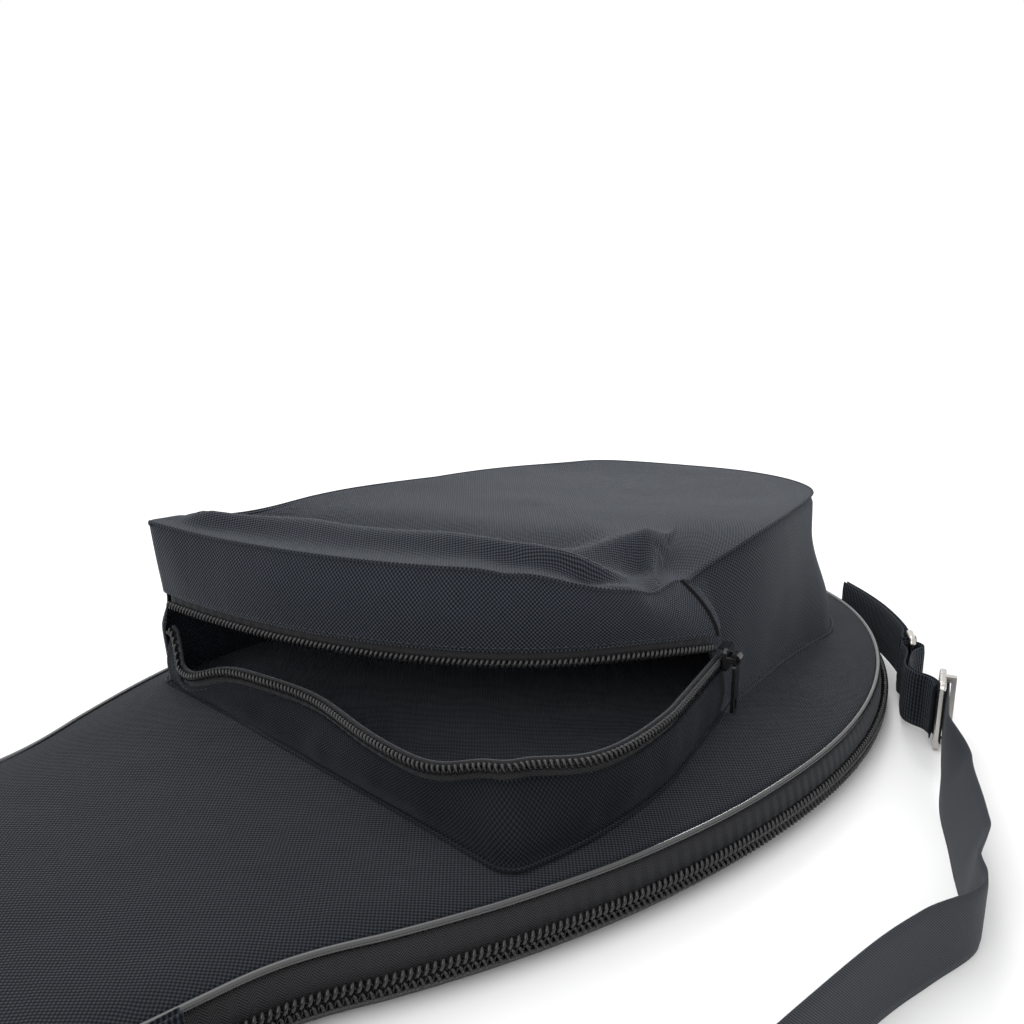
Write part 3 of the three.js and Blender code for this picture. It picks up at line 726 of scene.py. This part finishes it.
def eye_webbing(name, node, points, radius):
    """A loop or tab of webbing that stands for a CAD node; its radius is in millimetres."""
    line = even(eye_line([at(*p) for p in points], radius * MM), 120)
    rings = webbing_rings(line, WEB_BOTTOM, 0.0)
    return sweep(name, rings, "case_back", "webbing_crosswise", node)


# ------------------------ panels
SPINE_FROM_BUTT, SPINE_FROM_TIP = 70 * MM, 120 * MM
EDGE_INSET = PIPING_R + GAP  # from the outline to what is sewn inside the piping
PANEL_POINTS, PANEL_ROWS = 300, 34


def spine_grid(outline, rows):
    """Points from a middle line out to the outline, and how far each is from the outline."""
    low, high = outline[:, 0].min() + SPINE_FROM_BUTT, outline[:, 0].max() - SPINE_FROM_TIP
    spine = np.stack([np.clip(outline[:, 0], low, high), np.zeros(len(outline))], axis=1)
    share = np.linspace(0.0, 1.0, rows) ** 0.7
    grid = spine[None] + (outline - spine)[None] * share[:, None, None]
    edge = np.linalg.norm(outline - spine, axis=1)[None] * (1 - share)[:, None]
    return grid, edge


def panel(name, node, body, look, inset, surface):
    """A closed sheet over the whole outline: surface(grid, edge) gives its lower and upper heights."""
    outline = case_outline(PANEL_POINTS)
    outline = outline - inset * normals(outline, closed=True)
    grid, edge = spine_grid(outline, PANEL_ROWS)
    low, high = surface(grid, edge)
    top = np.concatenate([grid, high[..., None]], axis=2)
    bottom = np.concatenate([grid, low[..., None]], axis=2)
    vertices = np.concatenate([top.reshape(-1, 3), bottom.reshape(-1, 3)])
    faces = sheet_faces(*grid.shape[:2])
    piece = make_object(name, vertices, faces, vertices[:, :2], None, look)
    fix_normals(piece, weld=0.02 * MM)
    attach(piece, body)
    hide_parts(node)
    return piece


def front_cover_surface(grid, edge):
    """The front panel swells over its padding, and its cloth waves a little."""
    swell = 1 - np.exp(-edge / (9 * MM))
    waves = (0.9 * field(grid, 70 * MM, 3.0) + 0.35 * field(grid, 28 * MM, 8.0)) * MM
    high = PANEL_TOP - 0.4 * MM + 2.2 * MM * swell + waves * swell
    return high - COVER, high


def back_cover_surface(grid, edge):
    """The back panel lies flat on the floor and lifts at its edge."""
    lift = 0.8 * MM * np.exp(-edge / (5 * MM))
    return lift, lift + COVER


def slab_surface(low, high, seed):
    """A layer inside a shell, which waves a little between its two heights."""

    def surface(grid, edge):
        wave = 0.15 * MM * field(grid, 40 * MM, seed)
        return low + wave, high + wave

    return surface


def make_panels():
    over_seam = EDGE_INSET - COVER
    panel("front_cover", "front_panel", "case_front", "oxford", over_seam, front_cover_surface)
    panel("back_cover", "back_panel", "case_back", "oxford", over_seam, back_cover_surface)
    for side, body in (("front", "case_front"), ("back", "case_back")):
        for layer, seed in (("foam", 11.0), ("lining", 17.0)):
            node = f"{side}_{layer}"
            low, high = (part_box(node)[k][2] for k in (0, 1))
            shape = slab_surface(low, high, seed)
            piece = panel(f"{node}_sheet", node, body, layer, EDGE_INSET + 2 * MM, shape)


# ------------------------ edge of the case
# The main zip's coil: heights of its two halves, distances out from the outline, and pitch.
COIL_BOTTOM, COIL_MIDDLE, COIL_TOP = 4.5 * MM, 8.5 * MM, 12.5 * MM
COIL_INNER, COIL_OUTER = 2.4 * MM, 5.6 * MM
COIL_PITCH = 2.4 * MM
COIL_OVERLAP = 0.15 * MM  # how far each half reaches into the other
COIL_TAIL = 13 * MM  # the back coil runs on past each end of the front one
TAPE_GAP = 0.2 * MM  # from the middle of the zip to each tape's edge
TAPE_STITCH_OUT, TAPE_STITCH_DOWN = 0.95 * MM, 3.2 * MM  # from the outline, and from the tape's top


def make_pipings():
    line = case_outline(640)
    for side, body in (("back", "case_back"), ("front", "case_front")):
        node = f"{side}_piping"
        low, high = (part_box(node)[k][2] for k in (0, 1))
        middle = (low + high) / 2
        sway = 0.25 * MM * np.array([ripple((*p, middle), 35 * MM, 5) for p in line])
        if side == "back":  # it lies on the floor
            sway = np.abs(sway)
        path = raised(line, middle + sway)
        tube(f"{node}_cord", path, PIPING_CORD_R, body, "piping", node, closed=True, sides=14)


def make_tape(name, line, bow, heights, body, node):
    """A zip tape on the case's edge: bow is how far out each of its rows lies."""
    offsets = np.concatenate([bow, (bow - COVER)[::-1]])
    rings = wall_rings(line, offsets, np.concatenate([heights, heights[::-1]]))
    sweep(name, rings, body, "zip_tape", node)


def make_main_zip():
    line = zip_run(700)
    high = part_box("front_zip_tape")[1][2]
    share = np.linspace(0, 1, 7)
    bow = COIL_INNER * share**0.8 + 0.5 * MM * np.sin(math.pi * share)
    drop = np.linspace(high, COIL_MIDDLE + TAPE_GAP, 7)
    make_tape("front_tape", line, bow, drop, "case_front", "front_zip_tape")
    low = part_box("back_zip_tape")[0][2]
    bow = COIL_INNER * np.linspace(0, 1, 5) ** 0.7
    rise = np.linspace(low, COIL_MIDDLE - TAPE_GAP, 5)
    make_tape("back_tape", line, bow, rise, "case_back", "back_zip_tape")
    coil("front_coil", line, COIL_INNER, COIL_OUTER, COIL_MIDDLE - COIL_OVERLAP, COIL_TOP, COIL_PITCH,
         "case_front", "front_zip_coil")
    tailed = zip_run(720, COIL_TAIL)
    coil("back_coil", tailed, COIL_INNER, COIL_OUTER, COIL_BOTTOM, COIL_MIDDLE + COIL_OVERLAP, COIL_PITCH,
         "case_back", "back_zip_coil", -1)
    stitches = raised(line + TAPE_STITCH_OUT * normals(line), high - TAPE_STITCH_DOWN)
    stitch_line("front_tape_stitches", stitches, "case_front")


def make_gusset():
    """The cloth wall round the sleeve's end, where there is no zip."""
    near = butt_half()
    line = even(chain(mirrored(near), near), 200)
    low, high = (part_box("butt_gusset")[k][2] for k in (0, 1))

    def bulge(_, share):
        return 0.7 * MM + 1.0 * MM * np.sin(math.pi * share)

    cloth_wall("butt_wall", line, low, high, "case_back", "oxford", "butt_gusset", bulge)


# ------------------------ ball pocket
FINE_PITCH, FINE_DEPTH = 2.0 * MM, 2.9 * MM  # of the pocket's zip coils
FINE_ON, FINE_PAST = 3.8 * MM, 0.2 * MM  # a coil's height on its tape, and past the lip
FINE_TAIL = 9 * MM  # the lower coil runs on past the zip's end
ZIP_CORNER = np.array(near_side(ZIP_STOP))  # the top corner above the zip's end
FAR_CORNER = np.array(at(MOUTH, POCKET_HALF))  # the far corner of the mouth
NEAR_CORNER = np.array(at(MOUTH, -POCKET_HALF))
REAR_SAG = np.array(at(125, 45))  # the top hangs lowest at the far shoulder
SIDE_SAG = np.array(at(-78, 112))  # and a little behind the far corner
WALL_FLARE = np.array(at(140, -55))  # the wall spreads at its foot round the near shoulder
WALL_FOOT = PANEL_TOP + 0.4 * MM  # the bottom edge of the pocket's walls
FOOT_OUT = 2.2 * MM  # the walls' seam allowance spreads at the foot
FOOT_SEAM_OUT, FOOT_SEAM_UP = 2.7 * MM, 2.0 * MM
SEAM_R, FOOT_SEAM_R = 0.75 * MM, 0.7 * MM
END_SEAM_R, FLAP_END_SEAM_R = 0.65 * MM, 1.0 * MM
WALL_ROWS = 30
FLAP_ROWS = 24
FLAP_DROP = 27 * MM  # from the pocket's top to the top of the flap's tape
LIP_BOW = 6.5 * MM  # the flap's lip stands out at its middle
COIL_COVER = 6.4 * MM  # from a lip to the edge of the cloth that covers its tape
TAPE_TUCK = 0.5 * MM  # the tapes reach on under that cloth
STITCH_IN = 1.6 * MM  # from the cloth's edge to the stitches along it
LAP = 0.9 * MM  # the cloth laps over the outside of the zip tapes


def edge_shift(points):
    """How the limp top is moved from its sewn outline: it slumps inwards over the zip's end."""
    slump = nearness(points, ZIP_CORNER, 32 * MM) * np.array([-8, 13, -14]) * MM
    pucker = nearness(points, FAR_CORNER, 24 * MM) * np.array([-3, 2, 2.5]) * MM
    sag = nearness(points, REAR_SAG, 62 * MM) * np.array([0, 0, -5]) * MM
    side_sag = nearness(points, SIDE_SAG, 34 * MM) * np.array([0, 0, -4]) * MM
    return slump + pucker + sag + side_sag


def rear_wall_seams(line, wall, flare, shift):
    """The wall's rolled seams: up its end at the zip, along its top and along its foot."""
    end = np.array([vertex.co for vertex in wall.data.vertices[:WALL_ROWS]])
    end = end[end[:, 2] > LOWER_LIP] + np.array([-0.8, -0.5, 0]) * MM
    tube("flap_end_seam", end, END_SEAM_R, "case_front", "lining")
    edge = raised(line + 0.1 * MM * normals(line), POCKET_TOP - 0.3 * MM) + shift
    tube("pocket_top_seam", edge, SEAM_R, "case_front", "oxford_pocket_painted_light")
    foot = raised(line + (FOOT_SEAM_OUT + flare) * normals(line), PANEL_TOP + FOOT_SEAM_UP)
    tube("pocket_foot_seam", foot, FOOT_SEAM_R, "case_front", "oxford_pocket_painted_light")


def make_rear_wall():
    """The wall that stands up, from the zip's end round to the mouth's far corner."""
    line = pocket_rear(420)
    swell = 1.6 * MM + 1.2 * MM * wavy(line, 60 * MM, 2)
    folds = 0.5 * MM * wavy(line, 18 * MM, 9)
    creases = 0.9 * MM * wavy(line, 26 * MM, 31) * nearness(line, ZIP_CORNER, 70 * MM)
    flare = 15 * MM * nearness(line, WALL_FLARE, 48 * MM)
    tucked = 4.5 * MM * nearness(line, FAR_CORNER, 13 * MM)

    def lean(_, share):
        turned_in = -1.6 * MM * smoothstep(share, 0.93, 1.0)
        foot = FOOT_OUT * (1 - smoothstep(share, 0.0, 0.06))
        belly = (swell + folds * (1 - share)) * np.sin(math.pi * share) ** 0.7
        crumple = creases * np.sin(math.pi * share) * np.sin(3 * math.pi * share)
        spread = flare * (1 - smoothstep(share, 0.05, 0.75)) - tucked * smoothstep(share, 0.35, 0.55)
        return belly + crumple + spread + turned_in + foot + GAP

    shift = edge_shift(line)
    wall = cloth_wall("pocket_wall", line, WALL_FOOT, POCKET_TOP - 0.2 * MM, "case_front", "oxford_pocket_painted_light",
                      "pocket_rear_wall", lean, shift, rows=WALL_ROWS)
    rear_wall_seams(line, wall, flare, shift)


def seam_height(share):
    """The flap's top edge: level from the far corner, then sinking towards the zip's end."""
    sink = 8.5 * MM * smoothstep(share, 0.62, 0.82) * (1 - smoothstep(share, 0.88, 1.0))
    dimple = 1.6 * MM * bell(share, 0.64, 0.03)
    return POCKET_TOP + 0.8 * MM - sink - dimple


def lip_out(share):
    """How far the flap's lip stands out from its top edge."""
    return LIP_BOW * np.sin(math.pi * np.clip(share, 0, 1)) ** 0.85


def flap_tape_top(line):
    """Height of the top of the flap's tape, which sinks towards the zip's end."""
    away = np.minimum(np.linalg.norm(line - ZIP_CORNER, axis=1) / (60 * MM), 1)
    return POCKET_TOP - FLAP_DROP - 7.5 * MM * (1 - away) ** 2


def make_flap():
    line = flap_front(260)
    out = lip_out(np.linspace(0, 1, len(line)))[:, None]
    lip = flap_tape_top(line) - TAPE_WIDTH

    def tape_lean(_, share):
        return out + 0.15 * MM - 0.6 * MM * (1 - share)

    tape_top = lip + TAPE_WIDTH + TAPE_TUCK
    cloth_wall("flap_tape", line, lip, tape_top, "pocket_flap", "zip_tape", "flap_zip_tape",
               tape_lean, rows=6)
    inner = out[:, 0] - 0.2 * MM
    coil("flap_coil", line, inner, inner + FINE_DEPTH, lip - FINE_PAST, lip + FINE_ON, FINE_PITCH,
         "pocket_flap", "flap_zip_coil")
    make_flap_front()
    offset = (out[:, 0] + LAP + 0.5 * MM)[:, None] * normals(line)
    stitches = raised(line + offset, lip + COIL_COVER + STITCH_IN)
    stitch_line("flap_stitches", stitches[6:-6], "pocket_flap")


def make_flap_front():
    """The flap's front cloth wraps round the far corner and tucks in behind the wall at the zip's end."""
    wrap = quadratic(at(-116, 111.5), at(-134.5, 111.5), at(*FLAP_FAR), 24)
    tuck = straight(at(*FLAP_NEAR), at(10, -89.5), 6)
    line = even(chain(wrap, flap_front(260), tuck), 300)
    run = lengths(line)
    start, length = lengths(wrap)[-1], lengths(flap_front(260))[-1]
    share_along = np.clip((run - start) / length, 0, 1)
    out = lip_out(share_along)[:, None]
    waves = wavy(line, 45 * MM, 4)
    fine = wavy(line, 16 * MM, 6)
    open_part = (smoothstep(run, 0.4 * start, 1.6 * start))[:, None]
    flatter = (1 - 0.75 * smoothstep(share_along, 0.86, 1.0))[:, None]

    def lean(_, share):
        belly = (2.2 * MM + 1.4 * MM * waves) * np.sin(math.pi * share) * flatter
        crumple = 0.7 * MM * fine * np.sin(math.pi * share) * share * flatter
        return (out * (1 - share) ** 1.2 + belly + crumple + LAP * (1 - share)) * open_part + 0.4 * MM

    bottom = flap_tape_top(line) - TAPE_WIDTH + COIL_COVER
    top = seam_height(share_along) - 3.0 * MM * (1 - smoothstep(run, 0, 0.9 * start))
    shift = edge_shift(line)
    sheet = cloth_wall("flap_front", line, bottom, top, "pocket_flap", "oxford_pocket_painted_light", "flap_wall",
                       lean, shift, rows=FLAP_ROWS)
    last = 2 * FLAP_ROWS * int(np.argmin(np.abs(run - start - length)))  # the ring at the zip's end
    edge = np.array([vertex.co for vertex in sheet.data.vertices[last : last + FLAP_ROWS]])
    tube("flap_near_seam", edge + np.array([1.1, -0.5, 0]) * MM, FLAP_END_SEAM_R, "pocket_flap", "lining")
    seam = raised(line + 0.3 * MM * normals(line), top - 0.1 * MM) + shift
    on_flap = (run > 0.8 * start) & (run < start + length)
    tube("flap_seam", seam[on_flap], SEAM_R, "pocket_flap", "oxford_pocket_painted_light")


def lower_lip_shape(line):
    """Height of the lower lip along the pocket's front, and how far it is moved in plan."""
    y = line[:, 1] / MM
    on_mouth = smoothstep(at(MOUTH + 30, 0)[0] - line[:, 0], 0, 20 * MM)
    from_far_end = smoothstep(POCKET_HALF - POCKET_CORNER - y, 1, 14)
    droop = 9.5 * bell(y, 82, 20) + 5.0 * smoothstep(y, -112, -60)
    lip = LOWER_LIP - droop * on_mouth * from_far_end * MM
    rounded = nearness(line, NEAR_CORNER, 27 * MM) * np.array([12, 13.5]) * MM
    pushed = bell(y, 6, 34) * on_mouth * from_far_end * 7.0 * MM
    bulged = bell(y, 78, 20) * on_mouth * from_far_end * 4.0 * MM
    moved = rounded + np.stack([pushed - bulged, 0 * y], axis=1)
    return lip, raised(moved, 0.0)


def make_lower_coil(line, lip_line, lip):
    """The coil on the lower lip, which runs on straight past the zip's end."""
    tail = lip_line[-1] + unit(line[-1] - line[-2]) * FINE_TAIL
    coil_line = np.concatenate([lip_line, [tail]])
    coil_lip = np.append(lip, lip[-1])
    coil("lower_coil", coil_line, -GAP, FINE_DEPTH - GAP, coil_lip - FINE_ON, coil_lip + FINE_PAST,
         FINE_PITCH, "case_front", "pocket_lower_coil", -1)


def make_lower_lip():
    """The low wall under the mouth, with its tape, coil, stitches and foot seam."""
    line = pocket_front(360)
    lip, moved = lower_lip_shape(line)
    waves = wavy(line, 50 * MM, 12)
    fine = wavy(line, 14 * MM, 15)

    def lean(_, share):
        foot = FOOT_OUT * (1 - smoothstep(share, 0.0, 0.12))
        belly = (2.0 * MM + 1.8 * MM * waves + 0.9 * MM * fine) * np.sin(math.pi * share)
        return belly + foot + LAP * share + GAP

    def tape_lean(_, share):
        return 0.2 * MM - 0.7 * MM * share

    # painted shade: the lower wall and its foot seam get the darker copy of the cloth
    cloth_wall("lower_front", line, WALL_FOOT, lip - COIL_COVER, "case_front", "oxford_lower_painted_shade",
               "pocket_lower_wall", lean, moved, rows=20)
    lip_line = line + moved[:, :2]
    cloth_wall("lower_tape", lip_line, lip - TAPE_WIDTH - TAPE_TUCK, lip, "case_front", "zip_tape",
               "pocket_lower_tape", tape_lean, rows=6)
    make_lower_coil(line, lip_line, lip)
    foot = raised(line + FOOT_SEAM_OUT * normals(line), PANEL_TOP + FOOT_SEAM_UP)
    tube("lower_foot_seam", foot, FOOT_SEAM_R, "case_front", "oxford_lower_painted_shade")
    stitches = raised(lip_line + (LAP + 0.4 * MM) * normals(lip_line), lip - COIL_COVER - STITCH_IN)
    stitch_line("lower_stitches", stitches[4:-4], "case_front")


# ------------------------ top of the pocket
TOP_MIDDLE = np.array(at(22, 8))
TOP_ROWS = 72


def crest(points, start, end, width, steep=1):
    """1 along a line between two places in plan, fading away from it, faster on its left if steep."""
    a, b = np.array(at(*start)), np.array(at(*end))
    share = np.clip((points - a) @ (b - a) / ((b - a) @ (b - a)), 0, 1)
    away = np.linalg.norm(points - (a + share[:, None] * (b - a)), axis=1)
    left = (b[0] - a[0]) * (points[:, 1] - a[1]) > (b[1] - a[1]) * (points[:, 0] - a[0])
    return np.exp(-((away * np.where(left, steep, 1) / (width * MM)) ** 2))


def flap_place(points):
    """How far along the flap's front each point lies, from 0 to 1, and how many millimetres behind it."""
    front = flap_front(160)
    gap = np.linalg.norm(points[:, None] - front[None], axis=2)
    return gap.argmin(axis=1) / (len(front) - 1), gap.min(axis=1) / MM


def top_lift(points, edge, along, distance):
    """How far the top cloth stands over its seams: it rises and dips along the flap's front,
    and folds where the flap meets the near wall."""
    reach = smoothstep(along, -0.04, 0.06) * (1 - smoothstep(along, 0.76, 0.95))
    ridge_at = 15 + 13 * smoothstep(along, 0.0, 0.25) - 16 * smoothstep(along, 0.45, 0.85)
    ridge = 8.5 * bell(distance, ridge_at, 0.38 * ridge_at) * reach
    dip = -6.5 * bell(distance - ridge_at, 30, 20) * reach
    pleat = 6.5 * crest(points, (4, -62), (-32, -43), 10)
    hollow = -4.0 * crest(points, (-12, -76), (-48, -66), 7)
    step = 5.0 * crest(points, (12, -69), (-10, -85), 13, 6)
    tuck = 3.5 * crest(points, (-30, -86), (-42, -76), 3.5, 2)
    waves = 1.3 * field(points, 75 * MM, 21) + 0.6 * field(points, 26 * MM, 27)
    inside = 1 - np.exp(-edge / (7 * MM))
    sag = -2.5 * (1 - np.exp(-edge / (40 * MM)))
    return (ridge + dip + pleat + hollow + step + tuck + waves + sag) * inside * MM


def fold_top(piece):
    """Bakes the top's transform into its mesh."""
    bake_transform(piece)


def make_top():
    """One sheet over the whole pocket, from its middle out to its seams."""
    outline = even(chain(pocket_rear(330), flap_front(170)), 500)[:-1]
    share = np.linspace(0.02, 1, TOP_ROWS) ** 0.8
    grid = TOP_MIDDLE + (outline - TOP_MIDDLE)[None] * share[:, None, None]
    points = grid.reshape(-1, 2)
    edge = (np.linalg.norm(outline - TOP_MIDDLE, axis=1)[None] * (1 - share)[:, None]).ravel()
    along, distance = flap_place(points)
    near_front = np.exp(-distance / 24)
    base = POCKET_TOP + (seam_height(along) - POCKET_TOP) * near_front
    top = raised(points, base + top_lift(points, edge, along, distance)) + edge_shift(points)
    bottom = top - np.array([0, 0, CLOTH])
    vertices = np.concatenate([top, bottom])
    faces = sheet_faces(TOP_ROWS, len(outline), capped=True)
    flat = np.concatenate([points, points])
    piece = make_object("pocket_top_cloth", vertices, faces, flat, None, "oxford_pocket_painted_light")
    fix_normals(piece)
    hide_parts("pocket_top", "flap_top")
    fold_top(piece)


# ------------------------ floor and light
def make_floor():
    mesh = bpy.data.meshes.new("floor")
    far = 40  # metres
    mesh.from_pydata([(-far, -far, 0), (far, -far, 0), (far, far, 0), (-far, far, 0)], [], [(0, 1, 2, 3)])
    floor = bpy.data.objects.new("floor", mesh)
    bpy.context.scene.collection.objects.link(floor)
    mesh.materials.append(solid("floor", (0.86, 0.86, 0.86), (0.88, 0.88, 0.88), 0.9, grain=30))


def lamp(kind, name, spot, size, power):
    """A soft light at a spot, aimed at the middle of the case."""
    data = bpy.data.lights.new(name, kind)
    data.energy = power
    if kind == "SUN":
        data.angle = math.radians(size)
    else:
        data.size = size
    light = bpy.data.objects.new(name, data)
    light.location = spot
    light.rotation_euler = (-Vector(spot)).to_track_quat("-Z", "Y").to_euler()
    bpy.context.scene.collection.objects.link(light)


def make_light():
    world = bpy.data.worlds.new("studio")
    world.use_nodes = True
    world.node_tree.nodes["Background"].inputs[0].default_value = (1, 1, 1, 1)
    world.node_tree.nodes["Background"].inputs[1].default_value = 1.0
    bpy.context.scene.world = world
    lamp("SUN", "key", (0.1, 0.9, 1.6), 60, 0.85)
    lamp("AREA", "glint", (1.5, 0.7, 1.2), 0.35, 8)
    lamp("AREA", "fill", (-1.5, -0.3, 1.1), 1.4, 10)
    bpy.context.scene.view_settings.view_transform = "Standard"


make_camera()
upper_loop = eye_webbing("loop_webbing", "strap_loop", LOOP_ROUTE, LOOP_BAR_R)
lower_loop = eye_webbing("end_webbing", "strap_end_loop", LOWER_LOOP_ROUTE, LOOP_BAR_R)
make_strap()
eye_webbing("anchor_webbing", "anchor_tab", TAB_ROUTE, TAB_BAR_R)
eye_webbing("lower_webbing", "lower_tab", LOWER_TAB_ROUTE, TAB_BAR_R)
make_panels()
make_pipings()
make_main_zip()
make_gusset()
make_rear_wall()
make_flap()
make_lower_lip()
make_top()
dress_metal()
make_floor()
make_light()
